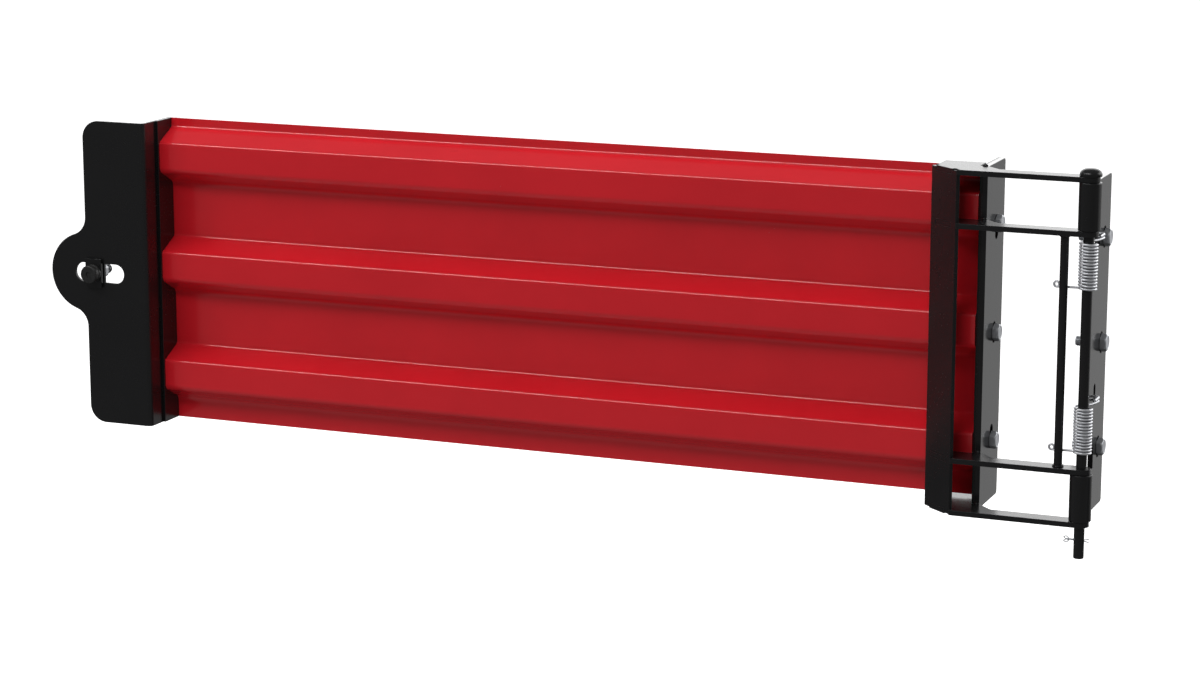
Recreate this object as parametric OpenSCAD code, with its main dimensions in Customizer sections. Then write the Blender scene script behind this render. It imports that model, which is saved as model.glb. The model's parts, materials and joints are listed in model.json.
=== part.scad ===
// Spring-return livestock panel gate.
// A corrugated steel panel hangs on four hinge arms and one long pin. The pin turns in two
// sleeves on a slotted mounting plate, and two torsion springs press the gate shut.
// X runs along the gate, Y away from the front, Z up. The origin is the middle mounting bolt's
// axis on the mounting plate's inner face. Modules are drawn with the pin's axis at X 0, Y 0.

/* [Corrugated panel] */
// Length of the panel sheet
sheet_len = 1388; // [900:1:2400]
// Thickness of the panel sheet
sheet_t = 1.5; // [1:0.1:3]
// Height from rib to rib
rib_pitch = 182.9; // [150:0.1:220]
// Width of a rib's flat front
rib_front = 48.6; // [30:0.1:70]
// Width of a rib where it leaves the valley
rib_base = 91.4; // [80:0.1:120]
// Depth from rib front to valley
rib_depth = 42; // [25:0.5:60]
// Height of the flat lip above the top rib
top_lip = 15; // [8:0.5:30]
// Height of the flat lip below the bottom rib
bottom_lip = 35; // [10:0.5:37]
// Radius of the sheet's bends above each rib
bend_r = 6; // [3:0.5:9]
// Radius of the sheet's bends below each rib
under_r = 12; // [3:0.5:16]
// Height of the middle rib above the hinge's middle
rib_rise = 13.5; // [0:0.5:20]
// Distance of the rib fronts behind the pin's axis
rib_y = 32; // [28:0.5:40]

/* [End channels] */
// Thickness of the two end channels
channel_t = 4; // [3:0.5:6]
// Width of the channels' rear flanges
flange_w = 18; // [12:1:30]
// Distance the left channel stands in front of the ribs
channel_proud = 4; // [0:0.5:8]

/* [Latch plate] */
// Thickness of the latch plate
latch_t = 5; // [4:0.5:8]
// Width of the latch plate's front
latch_w = 115; // [90:1:160]
// Distance of the latch plate's front before the pin's axis
latch_front = 12; // [8:0.5:20]
// Outer radius of the latch plate's fold
fold_r = 9; // [7:0.5:14]
// Radius of the latch plate's outer corners
corner_r = 29; // [15:1:40]
// Radius of the latch lobe
lobe_r = 66; // [55:1:80]
// Radius of the fillets beside the lobe
lobe_fillet = 31; // [20:1:40]
// Length of the latch slot
slot_len = 92; // [70:1:110]
// Height of the latch slot
slot_h = 32; // [24:1:40]
// Distance of the slot's outer round centre inside the plate's outer edge
slot_inset = -5; // [-12:1:12]

/* [Adjustable stop] */
// Distance of the stop bolt from the slot's outer round centre
stop_x = 21; // [15:1:60]
// Diameter of the rubber stop
bumper_d = 30; // [24:1:40]
// Length of the rubber stop
bumper_len = 17; // [13:1:40]
// Depth of the bolt hole in the rubber stop
bumper_bore = 9; // [6:0.5:10]
// Width of the stop's clamping washers
stop_washer_w = 29.5; // [26:0.5:40]
// Height of the stop's clamping washers
stop_washer_h = 48; // [42:1:60]
// Thickness of the stop's clamping washers
stop_washer_t = 5; // [3:0.5:8]
// Length of the stop bolt behind the latch plate
stop_tail = 39; // [30:1:60]

/* [Hinge] */
// Diameter of the hinge pin
pin_d = 15.88; // [12:0.01:20]
// Radial running clearance of the pin in its holes
pin_play = 0.06; // [0.02:0.01:0.1]
// Height from the middle to the outer arms' centres
outer_arm_z = 258.7; // [230:0.1:300]
// Height from the middle to the inner arms' centres
inner_arm_z = 178.5; // [145:0.1:200]
// Thickness of the hinge arms
arm_t = 8; // [6:0.5:10]
// Radius of the arms' eyes, and half their width
eye_r = 14; // [12:0.5:16]
// Outer diameter of the hinge sleeves
sleeve_d = 33.5; // [28:0.5:36]
// Play of a sleeve between its two arms, at each end
sleeve_play = 0.5; // [0.3:0.1:1]
// Diameter of the pin's domed head
dome_d = 33; // [24:1:36]
// Height of the pin's domed head
dome_h = 12; // [8:0.5:16]
// Length of the pin below the bottom arm
pin_tail = 49.5; // [35:0.5:70]
// Angle that the gate opens to
open_angle = 70; // [45:1:72]
// Height of the cotter pin above the pin's lower end
cotter_up = 28; // [12:1:36]
// Diameter of the cotter pin's wire pair
cotter_d = 3.2; // [2.5:0.1:4]

/* [Plates] */
// Width of the mounting plate and the joint plate
plate_w = 101.6; // [90:0.1:120]
// Thickness of the mounting plate and the joint plate
plate_t = 8; // [6:0.5:10]
// Height of the mounting plate
mount_h = 504; // [440:1:505]
// Height of the joint plate
joint_h = 523; // [460:1:525]
// Radius of the plates' rear corners
plate_corner_r = 6; // [3:1:12]
// Distance of the joint plate's outer face from the pin's axis
joint_x = 164; // [130:1:220]
// Distance of the joint plate's front edge behind the pin's axis
joint_y = 38; // [34:0.5:50]
// Height between the bolt slots
slot_pitch = 160; // [130:1:180]
// Length of the bolt slots
bolt_slot_len = 34; // [24:1:40]
// Width of the bolt slots
bolt_slot_w = 17; // [16.5:0.1:20]
// Distance of the mounting plate's bolts from its rear edge
mount_col = 33.6; // [25:0.1:45]
// Distance of the joint plate's bolts from its rear edge
joint_col = 42; // [30:0.5:45]

/* [Bolts] */
// Diameter of the bolts
bolt_d = 15.88; // [12:0.01:16]
// Width across flats of the bolt heads and nuts
bolt_af = 23.8; // [20:0.1:26]
// Height of the bolt heads
head_h = 10; // [8:0.5:12]
// Height of the nuts
nut_h = 13.9; // [10:0.1:15]
// Length of the bolts under the head
bolt_len = 38; // [36:1:60]
// Diameter of the bolts' plain neck, which passes through the plates
neck_d = 14.6; // [10:0.1:15]
// Distance of the joint plate's outer bolts past their slots' centres
joint_bolt_shift = 8; // [0:0.5:8]

/* [Guard plate] */
// Width of the guard plate
guard_w = 64.2; // [50:0.1:80]
// Thickness of the guard plate
guard_t = 6; // [4:0.5:8]
// Distance of the guard plate's outer edge from the pin's axis
guard_x = 197.5; // [190:0.5:230]
// Gap between the guard plate and the rib fronts
guard_gap = 0.3; // [0.1:0.1:1]
// Height of the guard plate
guard_h = 522; // [480:1:524]
// Clearance of an arm's tab in the guard plate
tab_gap = 0.3; // [0.1:0.1:1]

/* [Springs] */
// Diameter of the spring wire
wire_d = 3.6; // [2.5:0.1:4]
// Outer diameter of the coils
coil_d = 29; // [26:0.5:32]
// Rise of one turn
coil_pitch = 4.7; // [4.2:0.1:5]
// Number of full turns before the quarter turn that ends a coil
coil_turns = 15; // [8:1:16]
// Distance of the upper spring's top coil below the upper inner arm
upper_spring_drop = 9; // [8:0.5:40]
// Distance of the lower spring's top coil above the lower inner arm
lower_spring_rise = 93.5; // [86:0.5:110]
// Diameter of the rod that the spring legs press on
rod_d = 12.7; // [10:0.1:16]
// Distance of that rod from the pin's axis
rod_x = 35.5; // [32:0.5:45]

/* [Hidden] */
$fn = 64;

plate_front = sleeve_d / 2 + 0.25;
mount_bolt_y = plate_front + plate_w - mount_col;

valley_y = rib_y + rib_depth;
flange_y = valley_y + sheet_t;
back_y = flange_y + channel_t;
nut_gap = 1;
joint_bolt_y = max(joint_y + plate_w - joint_col, back_y + bolt_af / 2 / cos(30) + nut_gap);
sheet_right = -joint_x - plate_t - channel_t;
sheet_left = sheet_right - sheet_len;
sheet_top = rib_rise + rib_pitch + rib_base / 2 + top_lip;
sheet_bottom = rib_rise - rib_pitch - rib_base / 2 - bottom_lip;
sheet_h = sheet_top - sheet_bottom;
sheet_mid = (sheet_top + sheet_bottom) / 2;

web_left = sheet_left - channel_t;
latch_right = web_left;
latch_left = latch_right - latch_w;
slot_x0 = latch_left + slot_inset;
slot_run = slot_len - slot_h;
stop_bolt_x = slot_x0 + stop_x;
slide_gap = 0.3;

hole_r = pin_d / 2 + pin_play;
bolt_r = bolt_d / 2;
tip_chamfer = 1.5;
neck_past = 1;
arm_front = -eye_r;
guard_u = asin((rib_y - guard_gap - guard_t * 0.75 - arm_front) / guard_w);
tab_from = 0.2;
tab_to = 0.8;
root_inset = 20;
top_root_gap = 2;
rib_line = rib_y - guard_gap;
rib_top = rib_rise + rib_pitch + rib_base / 2;
top_root_y = rib_top < outer_arm_z - arm_t / 2 ? valley_y - top_root_gap : rib_line;
bottom_root_y = sheet_bottom > -outer_arm_z + arm_t / 2
    ? joint_y + plate_w - root_inset : rib_line;
notch_gap = 1.2;
notch_end = (eye_r + notch_gap + plate_t / 2 * sin(open_angle)) / cos(open_angle);
notch_in = 22;
notch_out = 4.5;

coil_r = (coil_d - wire_d) / 2;
hook_y = notch_end - wire_d / 2 - 1.5;
hook_step = 5.4;
hook_slot_w = 12;
hook_slot_h = 33;
rod_gap = 0.3;
leg_y = rod_d / 2 + wire_d / 2 + rod_gap;
eye_ring_r = 3.9;
wire_sides = 8;
upper_spring_z = inner_arm_z - arm_t / 2 - upper_spring_drop;
lower_spring_z = -inner_arm_z + arm_t / 2 + lower_spring_rise;
turn_steps = 14;

// Moves a piece from the pin's frame to the part's frame
module place() {
    translate([plate_t / 2, -mount_bolt_y, 0]) children();
}

// Vector helpers for paths in a plane
function unit(v) = v / norm(v);
function left_of(v) = [-v[1], v[0]];
function turned(v, a) = [v[0] * cos(a) - v[1] * sin(a), v[0] * sin(a) + v[1] * cos(a)];
function turn_angle(a, b) = atan2(a[0] * b[1] - a[1] * b[0], a[0] * b[0] + a[1] * b[1]);

// Points of one rounded corner, each with the normal of the path there
function corner(a, b, c, r, steps) =
    let (d1 = unit(b - a), turn = turn_angle(d1, unit(c - b)), side = sign(turn))
    let (start = b - d1 * r * tan(abs(turn) / 2), centre = start + left_of(d1) * r * side)
    [for (k = [0:steps])
        let (n = turned(left_of(d1), turn * k / steps)) [centre - n * r * side, n]];

// A path with rounded corners as a list of points and normals; r is one radius or a list
function rounded(p, r, steps) = concat(
    [[p[0], left_of(unit(p[1] - p[0]))]],
    [for (i = [1:len(p) - 2])
        each corner(p[i - 1], p[i], p[i + 1], is_list(r) ? r[i - 1] : r, steps)],
    [[p[len(p) - 1], left_of(unit(p[len(p) - 1] - p[len(p) - 2]))]]);

// A strip of thickness t to the left of a path with rounded corners
module strip(p, r, t, steps = 6) {
    path = rounded(p, r, steps);
    polygon(concat([for (q = path) q[0]],
        [for (i = [len(path) - 1:-1:0]) path[i][0] + path[i][1] * t]));
}

// A slot along the drawing's second axis
module tall_slot(w, l) {
    square([w, l - w], center = true);
    for (s = [-1, 1]) translate([0, s * (l - w) / 2]) circle(d = w);
}

// A hexagon prism along Z, standing on Z 0, with lightly turned outer corners
module hex_block(af, h) {
    intersection() {
        cylinder(d = af / cos(30), h = h, $fn = 6);
        cylinder(d = af * 1.12, h = h);
    }
}

// A hexagon bolt along Z: head above 0, neck and shank below, with a chamfered end
module hex_bolt(length) {
    neck = plate_t + neck_past;
    hex_block(bolt_af, head_h);
    translate([0, 0, -neck - 1]) cylinder(d = neck_d, h = neck + 2);
    translate([0, 0, -length + tip_chamfer]) cylinder(r = bolt_r, h = length - tip_chamfer - neck);
    translate([0, 0, -length])
        cylinder(r1 = bolt_r - tip_chamfer, r2 = bolt_r, h = tip_chamfer);
}

// A hexagon nut along Z, standing on Z 0
module hex_nut() {
    difference() {
        hex_block(bolt_af, nut_h);
        translate([0, 0, -1]) cylinder(r = bolt_r + 0.1, h = nut_h + 2);
    }
}

// A flat plate in the YZ plane with rounded rear corners and three bolt slots
module slotted_plate(height, column) {
    difference() {
        translate([-plate_t / 2, 0, 0]) rotate([90, 0, 90]) linear_extrude(plate_t) {
            translate([0, -height / 2]) square([plate_w - plate_corner_r, height]);
            translate([0, plate_corner_r - height / 2])
                square([plate_w, height - 2 * plate_corner_r]);
            for (s = [-1, 1]) translate([plate_w - plate_corner_r, s * (height / 2 - plate_corner_r)])
                circle(r = plate_corner_r);
        }
        for (k = [-1:1]) translate([-plate_t, plate_w - column, k * slot_pitch])
            rotate([90, 0, 90]) linear_extrude(2 * plate_t) tall_slot(bolt_slot_w, bolt_slot_len);
    }
}

module mount_plate() {
    color("slategray") place() difference() {
        translate([0, plate_front, 0]) slotted_plate(mount_h, mount_col);
        for (z = [inner_arm_z - arm_t / 2 - notch_in, -inner_arm_z - arm_t / 2 - notch_out])
            translate([-plate_t, 0, z]) cube([2 * plate_t, notch_end, notch_in + arm_t + notch_out]);
        translate([-plate_t, hook_y - 1, lower_spring_z + hook_slot_h / 4]) rotate([90, 0, 90])
            linear_extrude(2 * plate_t) tall_slot(hook_slot_w, hook_slot_h);
    }
}

// One sleeve between an outer and an inner arm
module sleeve(z_low, z_high) {
    translate([0, 0, z_low]) difference() {
        cylinder(d = sleeve_d, h = z_high - z_low);
        translate([0, 0, -1]) cylinder(r = hole_r, h = z_high - z_low + 2);
    }
}

sleeve_in = inner_arm_z + arm_t / 2 + sleeve_play;
sleeve_out = outer_arm_z - arm_t / 2 - sleeve_play;

module upper_hinge_sleeve() {
    color("dimgray") place() sleeve(sleeve_in, sleeve_out);
}

module lower_hinge_sleeve() {
    color("dimgray") place() sleeve(-sleeve_out, -sleeve_in);
}

module mount_bolts() {
    color("silver") place() for (k = [-1:1])
        translate([plate_t / 2, mount_bolt_y, k * slot_pitch]) rotate([0, 90, 0]) hex_bolt(bolt_len);
}

pin_top = outer_arm_z + arm_t / 2;
pin_bottom = -pin_top - pin_tail;
cotter_z = pin_bottom + cotter_up;

module hinge_pin() {
    skirt = dome_h * 0.4;
    color("dimgray") place() difference() {
        union() {
            translate([0, 0, pin_bottom + tip_chamfer])
                cylinder(d = pin_d, h = pin_top - pin_bottom - tip_chamfer + 1);
            translate([0, 0, pin_bottom])
                cylinder(d1 = pin_d - 2 * tip_chamfer, d2 = pin_d, h = tip_chamfer);
            translate([0, 0, pin_top]) cylinder(d = dome_d, h = skirt);
            translate([0, 0, pin_top + skirt]) cylinder(d1 = dome_d, d2 = dome_d * 0.5, h = dome_h - skirt);
        }
        translate([-pin_d, 0, cotter_z]) rotate([0, 90, 0]) cylinder(d = cotter_d + 0.4, h = 2 * pin_d);
    }
}

module cotter_pin() {
    reach = pin_d / 2 + 8;
    ring_r = cotter_d * 1.3;
    color("silver") place() translate([0, 0, cotter_z]) {
        translate([-reach, 0, 0]) rotate([0, 90, 0]) cylinder(d = cotter_d, h = 2 * reach);
        translate([-reach - ring_r + 0.3, 0, 0]) rotate([90, 0, 0])
            rotate_extrude() translate([ring_r, 0]) circle(d = cotter_d * 0.6, $fn = 24);
    }
}

// One wire: rings of points square to a path, joined into a closed tube
function path_dir(p, i) = unit(p[min(i + 1, len(p) - 1)] - p[max(i - 1, 0)]);
function ring_at(p, i) =
    let (d = path_dir(p, i), up = abs(d[2]) > 0.9 ? [1, 0, 0] : [0, 0, 1])
    let (a = unit(cross(up, d)), b = cross(d, a))
    [for (k = [0:wire_sides - 1])
        p[i] + (a * cos(360 * k / wire_sides) + b * sin(360 * k / wire_sides)) * wire_d / 2];

module wire(p) {
    n = len(p);
    s = wire_sides;
    points = [for (i = [0:n - 1]) each ring_at(p, i)];
    walls = [for (i = [0:n - 2], k = [0:s - 1])
        let (m = (k + 1) % s) each [[i * s + k, i * s + s + k, i * s + s + m],
            [i * s + k, i * s + s + m, i * s + m]]];
    ends = [[for (k = [0:s - 1]) k], [for (k = [s - 1:-1:0]) (n - 1) * s + k]];
    polyhedron(points, concat(walls, ends), convexity = 10);
}

// The hook that holds a spring's top end in its slot, from the free end to the coil
hook = [[12, plate_front + 6, hook_step], [12, hook_y - 12, hook_step],
    [10.5, hook_y - 5, hook_step], [6, hook_y - 1, hook_step], [0, hook_y, hook_step],
    [-plate_t / 2 - 3, hook_y, hook_step], [-plate_t / 2 - 5, hook_y, hook_step * 0.75],
    [-plate_t / 2 - 5, hook_y, hook_step * 0.25], [-plate_t / 2 - 3, hook_y, 0],
    [0, hook_y, 0], [6, hook_y - 1, 0], [10.5, hook_y - 5, 0], [12, hook_y - 12, 0],
    [12, 26, 0], [11.4, 19, 0], [8.6, 15, 0], [4.6, 13, 0]];

// The straight leg behind the rod, and the small eye that ends it
leg_a = 90 + atan(rod_x / leg_y) - acos(coil_r / norm([rod_x, leg_y]));
function coil_point(a, z) = [coil_r * cos(a), coil_r * sin(a), z];
coil_drop = coil_pitch * (coil_turns + (leg_a - 90) / 360);
ring_x = -rod_x - rod_d / 2 - 6;

module torsion_spring() {
    steps = round(turn_steps * (coil_turns + (leg_a - 90) / 360));
    coil = [for (i = [0:steps])
        coil_point(90 + (leg_a - 90 + 360 * coil_turns) * i / steps, -coil_drop * i / steps)];
    eye = [for (a = [-90:-30:-390])
        [ring_x + eye_ring_r * cos(a), leg_y, -coil_drop + eye_ring_r + eye_ring_r * sin(a)]];
    wire(concat(hook, coil, [[-rod_x, leg_y, -coil_drop]], eye));
}

module upper_torsion_spring() {
    color("gainsboro") place() translate([0, 0, upper_spring_z]) torsion_spring();
}

module lower_torsion_spring() {
    color("gainsboro") place() translate([0, 0, lower_spring_z]) torsion_spring();
}

// A point s along the guard plate's back from its outer edge, and d in front of that back
guard_dir = [-cos(guard_u), sin(guard_u)];
guard_in = [sin(guard_u), cos(guard_u)];
guard_0 = [-guard_x, arm_front];
function guard_point(s, d) = guard_0 + guard_dir * s + guard_in * (guard_t - d);

// A hinge arm seen from above: eye, straight bar, heel on the joint plate, tab in the guard,
// and a root that fills the corner between the guard and the end channel back to root_y.
// The outer arms' roots end at the ribs' fronts where the sheet reaches past their arms.
module arm(z, root_y = rib_line) {
    root_x = sheet_right + (root_y > rib_line ? -tab_gap : tab_gap);
    eye = [for (a = [90:-6:-90]) [eye_r * cos(a), eye_r * sin(a)]];
    translate([0, 0, z - arm_t / 2]) difference() {
        linear_extrude(arm_t) polygon(concat(eye, [guard_0, guard_point(0, 0),
                guard_point(guard_w * tab_from, 0), guard_point(guard_w * tab_from, guard_t),
                guard_point(guard_w * tab_to, guard_t), guard_point(guard_w * tab_to, 0),
                guard_point(guard_w - 2, 0), [guard_point(guard_w - 2, 0)[0] + 3, rib_line],
                [guard_point(guard_w - 2, 0)[0] + 3, root_y], [root_x, root_y],
                [root_x, joint_y], [-joint_x, joint_y],
                [-joint_x + joint_y - eye_r, eye_r]]));
        translate([0, 0, -1]) cylinder(r = hole_r, h = arm_t + 2);
    }
}

module top_arm() {
    color("black") place() arm(outer_arm_z, top_root_y);
}

module upper_inner_arm() {
    color("black") place() arm(inner_arm_z);
}

module lower_inner_arm() {
    color("black") place() arm(-inner_arm_z);
}

module bottom_arm() {
    color("black") place() arm(-outer_arm_z, bottom_root_y);
}

module spring_stop_rod() {
    reach = inner_arm_z - arm_t / 2;
    color("black") place() translate([-rod_x, 0, -reach]) cylinder(d = rod_d, h = 2 * reach);
}

module guard_plate() {
    slot_h_arm = arm_t + 2 * tab_gap;
    color([0.12, 0.1, 0.1]) place() difference() {
        translate([0, 0, -guard_h / 2]) linear_extrude(guard_h) polygon([guard_0,
            guard_point(0, 0), guard_point(guard_w, 0), guard_point(guard_w, guard_t)]);
        for (z = [-outer_arm_z, -inner_arm_z, inner_arm_z, outer_arm_z])
            translate([0, 0, z - slot_h_arm / 2]) linear_extrude(slot_h_arm) polygon([
                guard_point(guard_w * tab_from - tab_gap, -1),
                guard_point(guard_w * tab_from - tab_gap, guard_t + 1),
                guard_point(guard_w * tab_to + 4 * tab_gap, guard_t + 1),
                guard_point(guard_w * tab_to + 4 * tab_gap, -1)]);
    }
}

module joint_plate() {
    color("slategray") place() translate([-joint_x - plate_t / 2, joint_y, 0])
        slotted_plate(joint_h, joint_y + plate_w - joint_bolt_y);
}

module right_end_channel() {
    web_h = joint_h;
    color([0.08, 0.08, 0.08]) place() {
        difference() {
            translate([sheet_right, joint_y, -web_h / 2]) cube([channel_t, plate_w, web_h]);
            for (k = [-1:1]) translate([sheet_right - 1, joint_bolt_y, k * slot_pitch])
                rotate([90, 0, 90]) linear_extrude(channel_t + 2) tall_slot(bolt_slot_w, bolt_slot_len);
        }
        translate([sheet_right - flange_w, flange_y, sheet_bottom])
            cube([flange_w + 1, channel_t, sheet_h]);
    }
}

joint_bolt_z = [-slot_pitch - joint_bolt_shift, 0, slot_pitch + joint_bolt_shift];

module joint_bolts() {
    color("silver") place() for (z = joint_bolt_z)
        translate([-joint_x, joint_bolt_y, z]) rotate([0, 90, 0]) hex_bolt(bolt_len);
}

module joint_nuts() {
    color("silver") place() for (z = joint_bolt_z)
        translate([sheet_right, joint_bolt_y, z]) rotate([0, -90, 0]) hex_nut();
}

// The corrugation from the bottom lip to the top lip, as depth and height
sheet_line = concat([[valley_y, sheet_bottom]],
    [for (k = [-1:1]) let (z = rib_rise + k * rib_pitch) each [
        [valley_y, z - rib_base / 2], [rib_y, z - rib_front / 2],
        [rib_y, z + rib_front / 2], [valley_y, z + rib_base / 2]]],
    [[valley_y, sheet_top]]);

module corrugated_sheet() {
    color("firebrick") place() translate([sheet_left, 0, 0]) rotate([90, 0, 90])
        linear_extrude(sheet_len) strip([for (i = [len(sheet_line) - 1:-1:0]) sheet_line[i]],
            [for (k = [0:2]) each [bend_r, bend_r, under_r, under_r]], sheet_t);
}

module left_end_channel() {
    front = rib_y - channel_proud;
    color([0.08, 0.08, 0.08]) place() translate([0, 0, sheet_bottom]) linear_extrude(sheet_h)
        strip([[sheet_left + flange_w - channel_t, back_y], [web_left, back_y], [web_left, front]],
            channel_t, channel_t - 0.01);
}

// Outline of the latch plate's front, with X across and Z up
module latch_outline(inner_x) {
    reach = sqrt((lobe_r + lobe_fillet) * (lobe_r + lobe_fillet) - lobe_fillet * lobe_fillet);
    share = lobe_r / (lobe_r + lobe_fillet);
    difference() {
        union() {
            translate([latch_left + corner_r, sheet_bottom])
                square([inner_x - latch_left - corner_r, sheet_h]);
            translate([latch_left, sheet_bottom + corner_r])
                square([corner_r + 1, sheet_h - 2 * corner_r]);
            for (s = [-1, 1])
                translate([latch_left + corner_r, sheet_mid + s * (sheet_h / 2 - corner_r)])
                    circle(r = corner_r);
            translate([latch_left, sheet_mid]) circle(r = lobe_r);
            for (s = [-1, 1]) translate([latch_left, sheet_mid]) polygon([[1, 0],
                [-lobe_fillet * share, s * reach * share], [-lobe_fillet, s * reach], [1, s * reach]]);
        }
        for (s = [-1, 1]) translate([latch_left - lobe_fillet, sheet_mid + s * reach])
            circle(r = lobe_fillet);
        translate([slot_x0, sheet_mid - slot_h / 2]) square([slot_run, slot_h]);
        for (x = [slot_x0, slot_x0 + slot_run]) translate([x, sheet_mid]) circle(d = slot_h);
    }
}

module latch_plate() {
    fold_x = latch_right - fold_r;
    color([0.08, 0.08, 0.08]) place() {
        translate([0, latch_t - latch_front, 0]) rotate([90, 0, 0])
            linear_extrude(latch_t) latch_outline(fold_x);
        translate([0, 0, sheet_bottom]) linear_extrude(sheet_h) strip([[fold_x - 1, -latch_front],
            [latch_right, -latch_front], [latch_right, back_y]], fold_r, latch_t);
    }
}

module stop_bumper() {
    edge = 2;
    back = -latch_front - slide_gap - stop_washer_t;
    color([0.1, 0.1, 0.1]) place() translate([stop_bolt_x, back, sheet_mid]) rotate([90, 0, 0])
        difference() {
            rotate_extrude() polygon([[0, 0], [bumper_d / 2, 0], [bumper_d / 2, bumper_len - edge],
                [bumper_d / 2 - edge, bumper_len], [0, bumper_len]]);
            translate([0, 0, -1]) cylinder(r = bolt_r, h = bumper_bore + 1);
        }
}

module stop_bolt() {
    front = -latch_front - slide_gap - stop_washer_t - bumper_bore;
    tail = latch_t - latch_front + stop_tail;
    color("silver") place() translate([stop_bolt_x, tail, sheet_mid]) rotate([90, 0, 0]) {
        cylinder(r1 = bolt_r - tip_chamfer, r2 = bolt_r, h = tip_chamfer);
        translate([0, 0, tip_chamfer]) cylinder(r = bolt_r, h = tail - front - tip_chamfer);
    }
}

module stop_washers() {
    faces = [-latch_front - slide_gap, latch_t - latch_front + slide_gap + stop_washer_t];
    color([0.1, 0.1, 0.1]) place() for (y = faces)
        translate([stop_bolt_x, y, sheet_mid]) rotate([90, 0, 0]) difference() {
            linear_extrude(stop_washer_t) square([stop_washer_w, stop_washer_h], center = true);
            translate([0, 0, -1]) cylinder(r = bolt_r + 0.1, h = stop_washer_t + 2);
        }
}

module stop_nut() {
    seat = latch_t - latch_front + slide_gap + stop_washer_t;
    color("silver") place() translate([stop_bolt_x, seat + nut_h, sheet_mid]) rotate([90, 0, 0])
        hex_nut();
}

mount_plate();
upper_hinge_sleeve();
lower_hinge_sleeve();
mount_bolts();
hinge_pin();
cotter_pin();
upper_torsion_spring();
lower_torsion_spring();
top_arm();
upper_inner_arm();
lower_inner_arm();
bottom_arm();
spring_stop_rod();
guard_plate();
joint_plate();
right_end_channel();
joint_bolts();
joint_nuts();
corrugated_sheet();
left_end_channel();
latch_plate();
stop_bumper();
stop_bolt();
stop_washers();
stop_nut();
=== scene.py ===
"""Builds the look of a spring-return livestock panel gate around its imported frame.

Every new piece is a surface worked out with numpy: a grid of two parameters, or a profile carried
along a path. Lengths are in metres, in the frame's own axes: X along the gate, Y away from the
front, Z up. Points given "from the pin" are counted from the hinge pin's axis.
"""
import json
import math

import bpy
import numpy as np
from mathutils import Matrix, Vector


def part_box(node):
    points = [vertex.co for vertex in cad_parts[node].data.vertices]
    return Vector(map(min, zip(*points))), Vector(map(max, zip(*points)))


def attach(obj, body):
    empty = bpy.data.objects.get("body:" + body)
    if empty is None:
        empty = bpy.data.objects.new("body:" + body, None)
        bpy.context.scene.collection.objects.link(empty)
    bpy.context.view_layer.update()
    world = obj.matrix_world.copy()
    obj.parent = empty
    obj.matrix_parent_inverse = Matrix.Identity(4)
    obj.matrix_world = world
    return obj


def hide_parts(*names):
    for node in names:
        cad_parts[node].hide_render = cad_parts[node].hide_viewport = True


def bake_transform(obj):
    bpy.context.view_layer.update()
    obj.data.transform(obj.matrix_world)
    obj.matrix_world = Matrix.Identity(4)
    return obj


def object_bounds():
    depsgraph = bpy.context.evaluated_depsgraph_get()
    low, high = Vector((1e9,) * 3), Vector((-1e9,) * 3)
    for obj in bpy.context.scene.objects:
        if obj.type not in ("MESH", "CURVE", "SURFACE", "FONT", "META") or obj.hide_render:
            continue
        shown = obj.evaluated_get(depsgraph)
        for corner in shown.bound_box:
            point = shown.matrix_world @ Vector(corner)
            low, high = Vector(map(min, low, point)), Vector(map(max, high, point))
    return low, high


bl_info = {
    "name": "Livestock Panel Gate",
    "version": (1, 0, 0),
    "blender": (4, 5, 0),
    "location": "View3D > Sidebar > Gate",
    "description": "Builds the pieces, finishes and studio of a spring-return panel gate",
    "category": "Object",
}

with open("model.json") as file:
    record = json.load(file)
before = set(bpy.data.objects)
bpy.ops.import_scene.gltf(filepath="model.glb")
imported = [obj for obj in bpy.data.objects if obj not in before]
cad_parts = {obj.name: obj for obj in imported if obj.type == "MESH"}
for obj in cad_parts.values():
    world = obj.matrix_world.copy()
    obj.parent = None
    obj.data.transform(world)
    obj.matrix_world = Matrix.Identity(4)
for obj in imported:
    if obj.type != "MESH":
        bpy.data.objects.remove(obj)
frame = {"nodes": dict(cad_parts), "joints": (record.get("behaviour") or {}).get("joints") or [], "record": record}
CAD_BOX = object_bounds()
MM = 0.001
JOINTS = {joint["name"]: joint for joint in frame["joints"]}
PIN = np.array(JOINTS["gate_swing"]["pos_m"], float)
FIXED, MOVING, STOP = "hinge_mount", "gate", "stop"
SEED = 7
COIL_TURNS = 15
COIL_STEPS = 30
DOME_ARC = 1.42
FLOOR_DROP = 0.55
# a direction that no axis of a turned piece is parallel to
SKEW = (0.31, 0.52, 0.79)
# the camera: which way its back and its right point, and its place from the pin in millimetres
LENS_MM, SENSOR_MM = 95.03, 36.0
CAMERA_BACK = (0.36646, -0.90779, 0.204)
CAMERA_RIGHT = (0.92719, 0.3746, 0.0014)
CAMERA_PLACE = (1042.8, -4487.3, 970.9)
# the lights: name, place and aim from the sheet's middle, size, power, seen in reflections
LIGHTS = (
    ("key_strip", (-1.1, -2.6, 2.45), (0, 0, 0), (5.0, 0.55), 76.0, True),
    ("top_soft", (0.2, -0.3, 3.0), (0, 0, 0), (4.0, 2.0), 52.0, False),
    ("floor_bounce", (0.0, -0.5, -0.75), (0, 0, 0), (3.0, 1.0), 4.5, False),
    ("right_fill", (4.4, 1.4, 1.6), (1.0, 0, 0), (2.0, 2.0), 30.0, True),
)


def length(default_mm, text):
    """A length property whose default is given in millimetres."""
    name, description = text.split(": ")
    return bpy.props.FloatProperty(name=name, description=description, default=default_mm * MM,
                                   min=0.0, unit="LENGTH", precision=5)


def colour(default, text):
    """A colour property, red, green and blue in linear light."""
    name, description = text.split(": ")
    return bpy.props.FloatVectorProperty(name=name, description=description, default=default,
                                         size=3, min=0.0, max=1.0, subtype="COLOR")


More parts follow.
